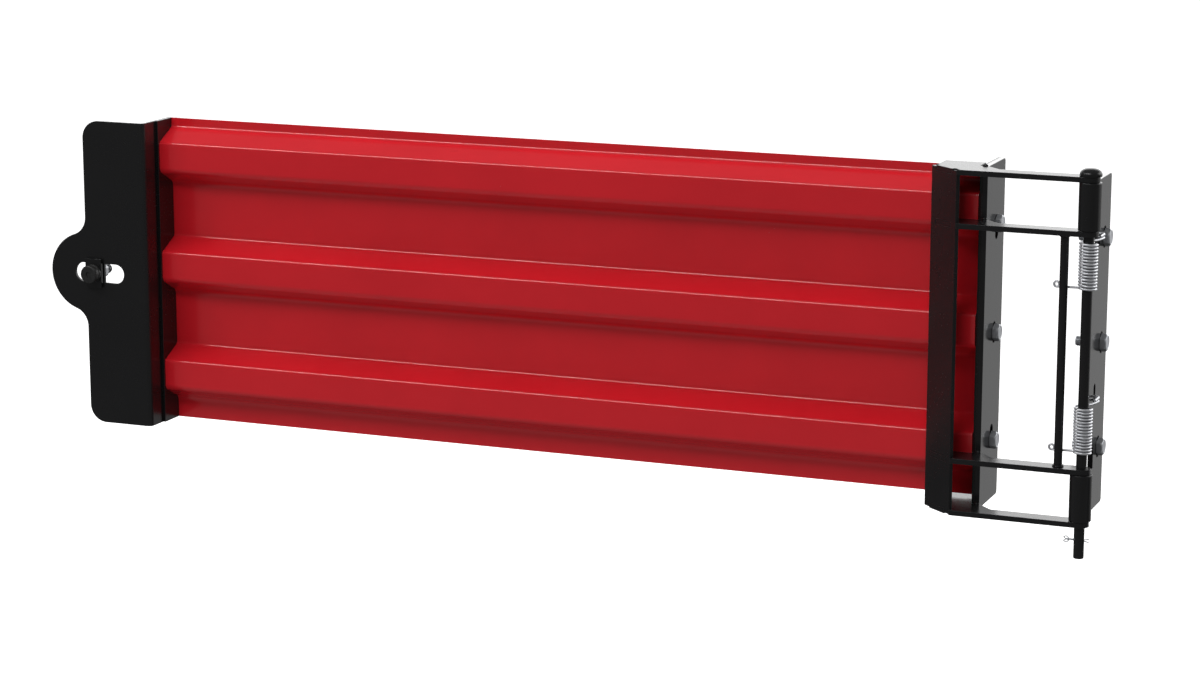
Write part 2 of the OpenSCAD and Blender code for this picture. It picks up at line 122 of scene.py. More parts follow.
class GateSizes(bpy.types.PropertyGroup):
    """Sizes of the pieces that are drawn here."""
    sheet_t: length(1.5, "Sheet: Thickness of the corrugated sheet")
    rib_pitch: length(182.9, "Rib pitch: Height from rib to rib")
    rib_front: length(48.6, "Rib front: Width of a rib's flat front")
    rib_base: length(91.4, "Rib base: Width of a rib where it leaves the valley")
    rib_rise: length(13.5, "Rib rise: Height of the middle rib above the hinge's middle")
    bend: length(6.0, "Bend: Radius of the sheet's bends above each rib")
    under: length(12.0, "Under bend: Radius of the sheet's bends below each rib")
    wire: length(3.6, "Spring wire: Diameter of the spring wire")
    coil: length(29.0, "Coil: Outer diameter of the springs")
    coil_rise: length(4.7, "Coil rise: Rise of one turn of a spring")
    hook_step: length(5.4, "Hook: Height between the two strands of a spring's hook")
    hook_out: length(12.0, "Hook out: Distance of a hook's strands from the plate's middle")
    hook_bend: length(8.0, "Hook bend: Radius of a hook's bends")
    strand: length(30.0, "Strand: Reach of a hook's free strand")
    lead: length(22.0, "Lead: Pull of the curve from the hook to the coil")
    leg_gap: length(0.3, "Leg gap: Gap between a spring's leg and the stop rod")
    eye: length(3.9, "Eye: Radius of the small eye that ends a spring's leg")
    eye_out: length(12.35, "Eye out: Distance of that eye past the stop rod's axis")
    bolt: length(15.88, "Bolt: Thread diameter of the bolts")
    thread_rise: length(2.31, "Thread: Rise of one turn of the thread")
    hex_af: length(23.8, "Hexagon: Width across flats of heads and nuts")
    nut_h: length(13.9, "Nut: Height of the nuts")
    weld: length(2.6, "Weld: Radius of the weld beads")


class GateFinish(bpy.types.PropertyGroup):
    """Colours of the finishes."""
    red: colour((0.66, 0.013, 0.022), "Red: Paint of the corrugated sheet")
    black: colour((0.0075, 0.0075, 0.0080), "Black: Paint of the frame, arms and plates")
    zinc: colour((0.68, 0.69, 0.71), "Zinc: Plating of the bolts and nuts")
    wire: colour((0.86, 0.86, 0.88), "Wire: Bright drawn spring wire")
    rubber: colour((0.012, 0.012, 0.012), "Rubber: Stop bumper")
    floor: colour((0.93, 0.93, 0.93), "Floor: Studio floor")


# ---------------------------------------------------------------- surfaces

def unit(v):
    """Vectors scaled to length one."""
    return v / np.maximum(np.linalg.norm(v, axis=-1, keepdims=True), 1e-12)


def grid(points, closed_rows=False):
    """Quads between neighbouring points of an array [row, column, xyz], whose columns close on
    themselves. Rows that don't close end in flat caps."""
    rows, cols = points.shape[:2]
    r = np.arange(rows if closed_rows else rows - 1)[:, None]
    c = np.arange(cols)[None, :]
    r2, c2 = (r + 1) % rows, (c + 1) % cols
    quads = np.stack([r * cols + c, r * cols + c2, r2 * cols + c2, r2 * cols + c], -1)
    faces = quads.reshape(-1, 4).tolist()
    if not closed_rows:
        faces.append(list(range(cols))[::-1])
        faces.append([(rows - 1) * cols + k for k in range(cols)])
    return points.reshape(-1, 3), faces


def swept(path, ref, radius, sides=16, closed=False):
    """A round tube: circles square to a path, each turned so that ref lies in its plane."""
    path = np.asarray(path, float)
    if closed:
        along = unit(np.roll(path, -1, 0) - np.roll(path, 1, 0))
    else:
        along = unit(np.gradient(path, axis=0))
    side = unit(np.cross(along, np.broadcast_to(ref, path.shape)))
    up = np.cross(side, along)
    turn = np.linspace(0, 2 * np.pi, sides, endpoint=False)[None, :, None]
    radius = np.broadcast_to(radius, (len(path),))[:, None, None]
    ring = (up[:, None] * np.cos(turn) + side[:, None] * np.sin(turn)) * radius
    return grid(path[:, None] + ring, closed_rows=closed)


def turned(profile, base, axis, steps=48, closed=False):
    """A profile of (radius, height) pairs turned about an axis from a base point."""
    profile = np.asarray(profile, float)
    axis = unit(np.asarray(axis, float))
    a = unit(np.cross(axis, SKEW))
    b = np.cross(axis, a)
    turn = np.linspace(0, 2 * np.pi, steps, endpoint=False)[None, :, None]
    ring = (a * np.cos(turn) + b * np.sin(turn)) * profile[:, :1, None]
    return grid(np.asarray(base) + axis * profile[:, 1:, None] + ring, closed_rows=closed)


def rounded(points, radius, steps=8, support=1.2 * MM):
    """A path of straight lines whose corners are arcs, with a support point by each arc's ends.
    Each arc is centred on the corner's bisector, at radius over the cosine of half the turn."""
    p = np.asarray(points, float)
    before, after = unit(p[1:-1] - p[:-2]), unit(p[2:] - p[1:-1])
    turn = np.arctan2(before[:, 0] * after[:, 1] - before[:, 1] * after[:, 0],
                      (before * after).sum(1))[:, None]
    radius = np.broadcast_to(radius, (len(p) - 2,))[:, None]
    reach = radius * np.tan(np.abs(turn) / 2)
    left = np.stack([-before[:, 1], before[:, 0]], -1) * np.sign(turn)
    start = p[1:-1] - before * reach
    k = np.linspace(0, 1, steps + 1)[None, :, None] * np.abs(turn)[:, None]
    arc = (start[:, None] + before[:, None] * np.sin(k) * radius[:, None]
           + left[:, None] * (1 - np.cos(k)) * radius[:, None])
    arc = np.concatenate([(start - before * support)[:, None], arc,
                          (p[1:-1] + after * (reach + support))[:, None]], 1)
    return np.concatenate([p[:1], arc.reshape(-1, 2), p[-1:]])


def thickened(path, thickness):
    """A closed outline: a path and its copy moved to the left by a thickness."""
    along = unit(np.gradient(path, axis=0))
    steps = unit(np.diff(path, axis=0))
    left_steps = np.stack([-steps[:, 1], steps[:, 0]], -1)
    left = unit(np.concatenate([left_steps[:1], left_steps[:-1] + left_steps[1:], left_steps[-1:]]))
    spread = 1 / np.maximum((left * np.stack([-along[:, 1], along[:, 0]], -1)).sum(1), 0.5)
    return np.concatenate([path, (path + left * thickness * spread[:, None])[::-1]])


def hexagon(profile, across, base, axis, steps=96):
    """A turned profile cut by a hexagon: the lesser of the profile's radius and the hexagon's,
    which is half the width across flats over the cosine of the angle from the flat's middle."""
    profile = np.asarray(profile, float)
    axis = unit(np.asarray(axis, float))
    a = unit(np.cross(axis, (0.0, 0.0, 1.0)))
    b = np.cross(axis, a)
    turn = np.linspace(0, 2 * np.pi, steps, endpoint=False)
    flat = across / 2 / np.cos((turn + np.pi / 6) % (np.pi / 3) - np.pi / 6)
    radius = np.minimum(profile[:, :1], flat[None])[..., None]
    ring = (a * np.cos(turn)[None, :, None] + b * np.sin(turn)[None, :, None]) * radius
    return grid(np.asarray(base) + axis * profile[:, 1:, None] + ring)


def threaded(radius, rise, span, base, axis, steps=32, rings=7):
    """A screw thread: the radius falls by a rounded sawtooth of height over rise less turn."""
    depth = rise * 0.5
    axis = unit(np.asarray(axis, float))
    a = unit(np.cross(axis, SKEW))
    b = np.cross(axis, a)
    height = np.linspace(0, span, max(int(span / rise * rings), 8))[:, None]
    turn = np.linspace(0, 2 * np.pi, steps, endpoint=False)[None]
    phase = (height / rise - turn / (2 * np.pi)) % 1.0
    tooth = np.clip(np.abs(2 * phase - 1) * 1.3 - 0.15, 0, 1)
    taper = np.clip((span - height) / (rise * 0.8), 0, 1)
    r = (radius - depth * (1 - taper * tooth))[..., None]
    ring = (a * np.cos(turn)[..., None] + b * np.sin(turn)[..., None]) * r
    return grid(np.asarray(base) + axis * height[..., None] + ring)


def bead(path, radius, ref, rng, closed=False):
    """A weld bead: a tube whose radius swells with each ripple and falls off at the ends."""
    path = np.asarray(path, float)
    gaps = np.linalg.norm(np.diff(path, axis=0), axis=1)
    run = np.concatenate([[0], np.cumsum(gaps)])
    ripple = 1 + 0.09 * np.abs(np.sin(np.pi * run / (radius * 0.8))) + rng.normal(0, 0.02, len(run))
    ends = 1 if closed else np.clip(np.minimum(run, run[-1] - run) / radius, 0.25, 1) ** 0.5
    return swept(path, ref, radius * ripple * ends, sides=14, closed=closed)


def line(a, b, step=0.7 * MM):
    """Evenly spaced points from a to b."""
    a, b = np.asarray(a, float), np.asarray(b, float)
    count = max(int(np.linalg.norm(b - a) / step), 6)
    return a + (b - a) * np.linspace(0, 1, count)[:, None]


def piece(name, surfaces, material, body=None, smooth=35.0):
    """One object from several surfaces, smooth but for edges sharper than an angle."""
    verts, faces, first = [], [], 0
    for points, quads in surfaces:
        verts.append(points)
        faces += [[i + first for i in q] for q in quads]
        first += len(points)
    mesh = bpy.data.meshes.new(name)
    mesh.from_pydata(np.concatenate(verts).tolist(), [], faces)
    mesh.validate()
    mesh.shade_smooth()
    mesh.set_sharp_from_angle(angle=math.radians(smooth))
    mesh.materials.append(material)
    made = bpy.data.objects.new(name, mesh)
    bpy.context.collection.objects.link(made)
    if body:
        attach(made, body)
    return made


def from_pin(x, y, z):
    """A point given from the pin's axis, in millimetres."""
    return PIN + np.array([x, y, z]) * MM


# ---------------------------------------------------------------- materials

class Socket:
    """A node's output with arithmetic: an expression on it adds its Math nodes."""

    def __init__(self, nodes, socket):
        self.nodes, self.socket = nodes, socket

    def _math(self, operation, first, second):
        return self.nodes.add("ShaderNodeMath", {"operation": operation}, {0: first, 1: second})

    def __add__(self, other):
        return self._math("ADD", self, other)

    def __sub__(self, other):
        return self._math("SUBTRACT", self, other)

    def __rsub__(self, other):
        return self._math("SUBTRACT", other, self)

    def __mul__(self, other):
        return self._math("MULTIPLY", self, other)

    __radd__, __rmul__ = __add__, __mul__


class Nodes:
    """A node tree, with one method that adds a node, its settings and its inputs."""

    def __init__(self, tree):
        self.tree = tree
        tree.nodes.clear()

    def add(self, kind, settings=None, inputs=None, output=0):
        """A new node's output. The stops of a ramp are pairs of place and grey value."""
        node = self.tree.nodes.new(kind)
        for key, value in (settings or {}).items():
            if key == "stops":
                ramp = node.color_ramp.elements
                for k, (place, shade) in enumerate(value):
                    stop = ramp[k] if k < 2 else ramp.new(place)
                    stop.position = place
                    stop.color = (shade, shade, shade, 1)
            else:
                setattr(node, key, value)
        for key, value in (inputs or {}).items():
            if isinstance(value, Socket):
                self.tree.links.new(value.socket, node.inputs[key])
            else:
                node.inputs[key].default_value = value
        return Socket(self, node.outputs[output]) if len(node.outputs) else None

    def noise(self, where, scale, detail=2.0, rough=0.5):
        return self.add("ShaderNodeTexNoise", {"noise_dimensions": "3D"},
                        {"Vector": where, "Scale": scale, "Detail": detail, "Roughness": rough})

    def ramp(self, value, *stops):
        return self.add("ShaderNodeValToRGB", {"stops": stops}, {"Fac": value})

    def mix(self, share, first, second):
        """A blend of two colours."""
        return self.add("ShaderNodeMix", {"data_type": "RGBA"},
                        {0: share, 6: first, 7: second}, output=2)


def shade(rgb, factor):
    """A colour made lighter or darker, with full alpha."""
    return tuple(min(c * factor, 1.0) for c in rgb) + (1.0,)


def new_material(name):
    """An empty material and its nodes, with Object coordinates."""
    material = bpy.data.materials.new(name)
    material.use_nodes = True
    nodes = Nodes(material.node_tree)
    return material, nodes, nodes.add("ShaderNodeTexCoord", output=3)


def surface(nodes, inputs):
    """The principled shader and the material's output."""
    shader = nodes.add("ShaderNodeBsdfPrincipled", None, inputs)
    nodes.add("ShaderNodeOutputMaterial", None, {"Surface": shader})


def edge_wear(nodes, radius):
    """How far a rounded edge turns away from the flat face, and the rounded normal."""
    soft = nodes.add("ShaderNodeBevel", {"samples": 6}, {"Radius": radius})
    face = nodes.add("ShaderNodeNewGeometry", output=1)
    same = nodes.add("ShaderNodeVectorMath", {"operation": "DOT_PRODUCT"}, {0: soft, 1: face},
                     output=1)
    return nodes.ramp(1 - same, (0.0, 0.0), (0.18, 1.0)), soft


def gloss_paint(name, rgb, gloss, edge_mm, dust, coat):
    """Baked gloss paint: orange peel, faint cloudiness, fine scuffs, dust and thin edges."""
    material, nodes, where = new_material(name)
    cloud = nodes.noise(where, 7.0, 4.0, 0.6)
    peel = nodes.noise(where, 420.0, 2.0, 0.5)
    stretched = nodes.add("ShaderNodeMapping", {"vector_type": "TEXTURE"},
                          {"Vector": where, "Rotation": (0.3, 0.15, 0.5), "Scale": (9.0, 1.0, 1.0)})
    scuff = nodes.ramp(nodes.noise(stretched, 260.0, 3.0, 0.6), (0.66, 0.0), (0.74, 1.0))
    patch = nodes.ramp(nodes.noise(where, 11.0, 2.0), (0.45, 0.0), (0.75, 1.0))
    worn, soft = edge_wear(nodes, edge_mm * MM)
    marks = scuff * patch * 0.5 + worn * 0.35
    body = nodes.mix(cloud, shade(rgb, 0.90), shade(rgb, 1.10))
    pale = tuple(c * 0.75 + dust for c in rgb) + (1.0,)
    base = nodes.mix(marks, body, pale)
    bump = nodes.add("ShaderNodeBump", None,
                     {"Strength": 0.10, "Distance": 0.0002, "Height": peel, "Normal": soft})
    surface(nodes, {"Base Color": base, "Roughness": cloud * 0.06 + marks * 0.22 + gloss,
                    "Normal": bump, "Coat Weight": coat, "Coat Roughness": 0.06})
    return material


def plated_steel(name, rgb, rough, edge_mm=0.4):
    """Bright zinc on steel: cloudy plating, fine machining lines and glossier worn edges."""
    material, nodes, where = new_material(name)
    cloud = nodes.noise(where, 90.0, 4.0, 0.6)
    lines = nodes.add("ShaderNodeMapping", {"vector_type": "TEXTURE"},
                      {"Vector": where, "Scale": (12.0, 1.0, 1.0)})
    fine = nodes.noise(lines, 1500.0, 2.0)
    worn, soft = edge_wear(nodes, edge_mm * MM)
    tint = nodes.mix(cloud, shade(rgb, 0.82), shade((rgb[0] * 0.98, rgb[1], rgb[2] * 1.03), 1.05))
    bump = nodes.add("ShaderNodeBump", None,
                     {"Strength": 0.12, "Distance": 0.0001, "Height": fine, "Normal": soft})
    surface(nodes, {"Base Color": tint, "Metallic": 0.8,
                    "Roughness": cloud * 0.16 + fine * 0.06 + rough - worn * 0.06,
                    "Normal": bump})
    return material


def moulded_rubber(name, rgb):
    """Black rubber: fine grain, chalky bloom in patches and a satin sheen."""
    material, nodes, where = new_material(name)
    grain = nodes.noise(where, 1100.0, 3.0)
    bloom = nodes.ramp(nodes.noise(where, 60.0, 4.0, 0.65), (0.42, 0.0), (0.8, 1.0))
    base = nodes.mix(bloom * 0.5, shade(rgb, 1.0), shade(rgb, 3.2))
    bump = nodes.add("ShaderNodeBump", None,
                     {"Strength": 0.2, "Distance": 0.0002, "Height": grain})
    surface(nodes, {"Base Color": base, "Roughness": bloom * 0.2 + 0.45, "Normal": bump})
    return material


MATERIALS = {}


def make_materials():
    """Every finish of the gate, by the name of its slot."""
    finish = bpy.context.scene.gate_finish
    MATERIALS.update({
        "red_panel": gloss_paint("red_gloss_paint", tuple(finish.red), 0.15, 0.5, 0.02, 0.45),
        "black_paint": gloss_paint("black_gloss_paint", tuple(finish.black), 0.24, 0.9, 0.02, 0.0),
        "grey_plate": gloss_paint("plate_gloss_paint", tuple(finish.black), 0.14, 0.9, 0.02, 0.2),
        "zinc": plated_steel("bright_zinc", tuple(finish.zinc), 0.30),
        "spring_steel": plated_steel("drawn_wire", tuple(finish.wire), 0.30, 0.2),
        "rubber": moulded_rubber("stop_rubber", tuple(finish.rubber)),
    })


# ---------------------------------------------------------------- operators

class GATE_OT_finishes(bpy.types.Operator):
    """Make the finishes and put them on the frame's own nodes"""
    bl_idname = "gate.finishes"
    bl_label = "Finishes"

    def execute(self, context):
        make_materials()
        for part in frame["record"]["subparts"]:
            node = frame["nodes"][part["node"]]
            for k in range(max(len(node.material_slots), 1)):
                if not node.material_slots:
                    node.data.materials.append(None)
                node.material_slots[k].material = MATERIALS[part["material_slot"]]
        return {"FINISHED"}


class GATE_OT_sheet(bpy.types.Operator):
    """Bend the corrugated sheet: flat lips, three ribs and arcs at every bend"""
    bl_idname = "gate.sheet"
    bl_label = "Corrugated Sheet"

    def execute(self, context):
        s = context.scene.gate_sizes
        low, high = (np.array(c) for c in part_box("corrugated_sheet"))
        rib_y, valley_y = low[1], high[1] - s.sheet_t
        middle = PIN[2] + s.rib_rise
        corners = [(valley_y, high[2])]
        for k in (1, 0, -1):
            z = middle + k * s.rib_pitch
            corners += [(valley_y, z + s.rib_base / 2), (rib_y, z + s.rib_front / 2),
                        (rib_y, z - s.rib_front / 2), (valley_y, z - s.rib_base / 2)]
        corners.append((valley_y, low[2]))
        path = rounded(corners, np.tile((s.bend, s.bend, s.under, s.under), 3))
        outline = thickened(path, s.sheet_t)
        across = np.linspace(low[0], high[0], 25)[:, None, None]
        section = np.concatenate([np.zeros((len(outline), 1)), outline], 1)[None]
        points = section + across * np.array([1.0, 0.0, 0.0])
        made = piece("corrugated_panel_skin", [grid(points)], MATERIALS["red_panel"], MOVING)
        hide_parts("corrugated_sheet")
        return {"FINISHED"}


def spring_path(s, top_z, hook_y, rod, thick):
    """A spring's centre line, from the free end of its hook, through the coil, to its eye.
    The coil is a helix: angle grows evenly with fall. Returns points and reference vectors."""
    r = (s.coil - s.wire) / 2
    out, bend, step = s.hook_out, s.hook_bend, s.hook_step
    rod_x, leg_y = rod
    reach = math.hypot(rod_x, leg_y)
    leave = math.pi / 2 + math.atan2(rod_x, leg_y) - math.acos(r / reach)
    turns = COIL_TURNS + (leave - math.pi / 2) / (2 * math.pi)
    drop = s.coil_rise * turns
    quarter = np.linspace(0, math.pi / 2, 9)[:, None]
    # free strand: along Y, then a quarter bend towards -X, then through the plate
    strand = line((out, hook_y - s.strand, 0), (out, hook_y - bend, 0), 3 * MM)[:, :2]
    bend_out = np.concatenate([out - bend + bend * np.cos(quarter),
                               hook_y - bend + bend * np.sin(quarter)], 1)
    through = line((out - bend, hook_y, 0), (-thick, hook_y, 0), 2 * MM)[1:, :2]
    flat = np.concatenate([strand, bend_out, through])
    up_strand = np.concatenate([flat, np.full((len(flat), 1), step)], 1)
    half = np.linspace(math.pi / 2, -math.pi / 2, 13)[1:-1, None]
    bow = np.concatenate([-thick - step / 2 * np.cos(half), np.full_like(half, hook_y),
                          step / 2 + step / 2 * np.sin(half)], 1)
    down_strand = up_strand[::-1][:len(flat) - len(strand) - 1] * (1, 1, 0)
    # lead-in: a smooth cubic from the strand to the coil's start, tangent to both
    t = np.linspace(0, 1, 18)[1:-1, None]
    a, b = down_strand[-1], np.array([0, r, 0])
    ta, tb = np.array([0, -s.lead, 0]), np.array([-s.lead, 0, 0])
    lead = ((2 * t ** 3 - 3 * t ** 2 + 1) * a + (t ** 3 - 2 * t ** 2 + t) * ta
            + (-2 * t ** 3 + 3 * t ** 2) * b + (t ** 3 - t ** 2) * tb)
    angle = np.linspace(0, turns * 2 * math.pi, int(turns * COIL_STEPS))[:, None]
    start = angle + math.pi / 2
    coil = np.concatenate([r * np.cos(start), r * np.sin(start),
                           -drop * angle / (turns * 2 * math.pi)], 1)
    eye_r, eye_x = s.eye, -rod_x - s.eye_out
    leg = line(coil[-1], (eye_x, leg_y, -drop), 2 * MM)[1:-1]
    ring = np.linspace(-math.pi / 2, -2.2 * math.pi, 32)[:, None]
    eye = np.concatenate([eye_x + eye_r * np.cos(ring), np.full_like(ring, leg_y),
                          -drop + eye_r + eye_r * np.sin(ring)], 1)
    path = np.concatenate([up_strand, bow, down_strand, lead, coil, leg, eye])
    up, side = np.array([0, 0, 1.0]), np.array([0, 1.0, 0])
    turn_over = np.concatenate([-np.cos(half), np.zeros_like(half), np.sin(half)], 1)
    radial = np.concatenate([np.cos(start), np.sin(start), np.zeros_like(start)], 1)
    ref = np.concatenate([np.tile(up, (len(up_strand), 1)), turn_over,
                          np.tile(-up, (len(down_strand), 1)), -up * (1 - t) + side * t, radial,
                          np.tile(side, (len(leg) + len(eye), 1))])
    return path + (0, 0, top_z), ref


class GATE_OT_springs(bpy.types.Operator):
    """Wind both torsion springs: hook, coil, straight leg and eye in one round wire"""
    bl_idname = "gate.springs"
    bl_label = "Torsion Springs"

    def execute(self, context):
        s = context.scene.gate_sizes
        rod_low, rod_high = (np.array(c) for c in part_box("spring_stop_rod"))
        rod = (rod_low + rod_high) / 2 - PIN
        leg_y = (rod_high[1] - rod_low[1]) / 2 + s.wire / 2 + s.leg_gap
        thick = PIN[0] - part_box("mount_plate")[0][0]
        for name in ("upper_torsion_spring", "lower_torsion_spring"):
            high = np.array(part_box(name)[1]) - PIN
            top = high[2] - s.hook_step - s.wire / 2
            path, ref = spring_path(s, top, high[1] - s.wire / 2, (-rod[0], leg_y), thick)
            made = piece(name + "_wire", [swept(path + PIN, ref, s.wire / 2)],
                         MATERIALS["spring_steel"], smooth=60.0)
            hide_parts(name)
            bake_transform(made)
        return {"FINISHED"}


def bolt(s, seat, axis, under_head, head=10.0 * MM):
    """A hexagon bolt: chamfered head on a washer face, and a threaded shank with a point."""
    r, face = s.bolt / 2, s.hex_af / 2
    wide = face / math.cos(math.pi / 6)
    crown = [(face * 0.94, 0.0), (face * 0.94, 0.4 * MM), (face * 0.97, 0.45 * MM)]
    crown += [(wide * 1.02, 0.5 * MM), (wide * 1.02, head * 0.62), (wide, head * 0.72)]
    crown += [(wide - (wide - face * 0.93) * k, head * (0.72 + 0.28 * k))
              for k in (0.3, 0.5, 0.7, 0.85, 1.0)]
    crown += [(face * 0.80, head), (face * 0.77, head * 0.97), (face * 0.3, head * 0.965)]
    axis = np.asarray(axis, float)
    return [hexagon(crown, s.hex_af, seat, axis),
            threaded(r, s.thread_rise, under_head, seat, -axis)]


def nut(s, seat, axis, height):
    """A hexagon nut, chamfered on both sides, around its hole."""
    r, face = s.bolt / 2, s.hex_af / 2
    wide = face / math.cos(math.pi / 6)
    outer = [(r + 0.1 * MM, 0.7 * MM), (r + 0.9 * MM, 0.0), (face * 0.95, 0.0)]
    outer += [(face + (wide - face) * k, height * 0.13 * k) for k in (0.25, 0.6, 1.02)]
    outer += [(face + (wide - face) * k, height * (1 - 0.13 * k)) for k in (1.02, 0.6, 0.25)]
    outer += [(face * 0.95, height), (r + 0.9 * MM, height), (r + 0.1 * MM, height - 0.7 * MM)]
    return hexagon(outer, s.hex_af, seat, axis)


def seats(node, side):
    """Centres of the three bolts of a node, on the face of the head or nut."""
    low, high = (np.array(c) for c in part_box(node))
    half = (high[1] - low[1]) / 2 / math.cos(math.pi / 6)
    y = (low[1] + high[1]) / 2
    return [np.array([side, y, z]) for z in (low[2] + half, (low[2] + high[2]) / 2,
                                             high[2] - half)]


class GATE_OT_fasteners(bpy.types.Operator):
    """Turn the mounting bolts, the joint bolts and their nuts, with real threads"""
    bl_idname = "gate.fasteners"
    bl_label = "Bolts and Nuts"

    def execute(self, context):
        s = context.scene.gate_sizes
        for node, plate, body in (("mount_bolts", "mount_plate", FIXED),
                                  ("joint_bolts", "joint_plate", MOVING)):
            seat_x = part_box(plate)[1][0]
            span = seat_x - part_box(node)[0][0]
            surfaces = []
            for seat in seats(node, seat_x):
                surfaces += bolt(s, seat, (1, 0, 0), span)
            made = piece("threaded_" + node, surfaces, MATERIALS["zinc"], body)
            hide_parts(node)
        high_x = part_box("joint_nuts")[1][0]
        surfaces = [nut(s, seat, (-1, 0, 0), s.nut_h) for seat in seats("joint_nuts", high_x)]
        made = piece("hexagon_joint_nuts", surfaces, MATERIALS["zinc"], MOVING)
        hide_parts("joint_nuts")
        return {"FINISHED"}


class GATE_OT_hinge(bpy.types.Operator):
    """Turn the hinge pin with its domed head, the two sleeves and the split cotter"""
    bl_idname = "gate.hinge"
    bl_label = "Hinge Pin and Sleeves"

    def execute(self, context):
        low, high = (np.array(c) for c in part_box("hinge_pin"))
        dome_r = (high[0] - low[0]) / 2
        r = context.scene.gate_sizes.bolt / 2
        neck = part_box("top_arm")[1][2]
        rise = high[2] - neck
        bottom = PIN * (1, 1, 0) + (0, 0, low[2])
        tall = neck - low[2]
        skirt = 0.3
        dome = [(dome_r * math.cos(a) ** 0.8,
                 tall + rise * (skirt + (1 - skirt) * math.sin(a) / math.sin(DOME_ARC)))
                for a in np.linspace(0, 1, 14) * DOME_ARC]
        profile = [(0.4 * r, 0), (r - 1.5 * MM, 0), (r - 0.5 * MM, 0.5 * MM), (r, 1.7 * MM),
                   (r, 3 * MM), (r, tall - 1 * MM), (r, tall), (dome_r - 0.6 * MM, tall),
                   (dome_r, tall + 0.6 * MM), (dome_r, tall + rise * (skirt - 0.02))] + dome
        pin = piece("domed_hinge_pin", [turned(profile, bottom, (0, 0, 1))],
                    MATERIALS["black_paint"], MOVING, 50.0)
        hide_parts("hinge_pin")
        for node in ("upper_hinge_sleeve", "lower_hinge_sleeve"):
            low, high = (np.array(c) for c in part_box(node))
            play, edge = 0.06 * MM, 1.2 * MM
            out, inner, h = (high[0] - low[0]) / 2, r + play, high[2] - low[2]
            wall = [(inner, edge), (inner + edge * 0.6, 0), (out - edge, 0)]
            wall += [(out - edge * 0.3, edge * 0.3), (out, edge), (out, 2 * edge)]
            wall += [(out, h - 2 * edge), (out, h - edge), (out - edge * 0.3, h - edge * 0.3)]
            wall += [(out - edge, h), (inner + edge * 0.6, h), (inner, h - edge)]
            tube = piece(node + "_tube", [turned(wall, PIN * (1, 1, 0) + (0, 0, low[2]),
                                                 (0, 0, 1), 64, closed=True)],
                         MATERIALS["black_paint"], FIXED)
            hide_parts(node)
        low, high = (np.array(c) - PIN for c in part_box("cotter_pin"))
        leg, z = (high[1] - low[1]) / 4, (low[2] + high[2]) / 2
        mouth = 0.6
        ring = np.linspace(mouth, 2 * math.pi - mouth, 28)[:, None]
        eye_r = (high[2] - low[2]) / 2 - leg
        eye = np.concatenate([low[0] + leg + eye_r - eye_r * np.cos(ring),
                              0 * ring, z + eye_r * np.sin(ring)], 1)
        end = high[0] - leg
        upper = np.array([[end, 0, z + leg * 3.4], [end - 6 * MM, 0, z + leg * 1.5],
                          [end - 9 * MM, 0, z + leg], [eye[0, 0] + 3 * MM, 0, z + leg]])
        lower = upper[::-1].copy()
        lower[:, 2] = 2 * z - lower[:, 2]
        path = np.concatenate([upper, eye, lower])
        split = piece("split_cotter_pin", [swept(path + PIN, (0, 1, 0), leg, 12)],
                      MATERIALS["zinc"], MOVING, 60.0)
        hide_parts("cotter_pin")
        return {"FINISHED"}


class GATE_OT_stop(bpy.types.Operator):
    """Turn the latch stop: ribbed rubber bumper, threaded bolt and nut"""
    bl_idname = "gate.stop"
    bl_label = "Latch Stop"

    def execute(self, context):
        s = context.scene.gate_sizes
        low, high = (np.array(c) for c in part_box("stop_bumper"))
        r, h = (high[0] - low[0]) / 2, high[1] - low[1]
        base = ((low + high) / 2) * (1, 0, 1) + (0, high[1], 0)
        ends = np.linspace(0, math.pi / 2, 7)
        edge = 2.4 * MM
        nose = [(r - edge + edge * math.cos(a), h - edge + edge * math.sin(a)) for a in ends]
        groove = r - 0.9 * MM
        wall = [(r * 0.55, 0), (r - 0.8 * MM, 0), (r, 0.8 * MM), (r, h * 0.3), (groove, h * 0.35)]
        wall += [(groove, h * 0.42), (r, h * 0.47)] + nose
        wall += [(r * 0.30, h), (r * 0.26, h - 1.5 * MM), (r * 0.05, h - 1.6 * MM)]
        bumper = piece("ribbed_stop_bumper", [turned(wall, base, (0, -1, 0), 64)],
                       MATERIALS["rubber"], STOP)
        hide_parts("stop_bumper")
        low, high = (np.array(c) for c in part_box("stop_bolt"))
        base = ((low + high) / 2) * (1, 0, 1) + (0, low[1], 0)
        span = high[1] - low[1]
        rod = piece("threaded_stop_bolt", [threaded(s.bolt / 2, s.thread_rise, span, base, (0, 1, 0))],
                    MATERIALS["zinc"], STOP)
        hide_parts("stop_bolt")
        low, high = (np.array(c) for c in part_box("stop_nut"))
        base = ((low + high) / 2) * (1, 0, 1) + (0, low[1], 0)
        hexa = piece("hexagon_stop_nut", [nut(s, base, (0, 1, 0), high[1] - low[1])],
                     MATERIALS["zinc"], STOP)
        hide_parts("stop_nut")
        return {"FINISHED"}


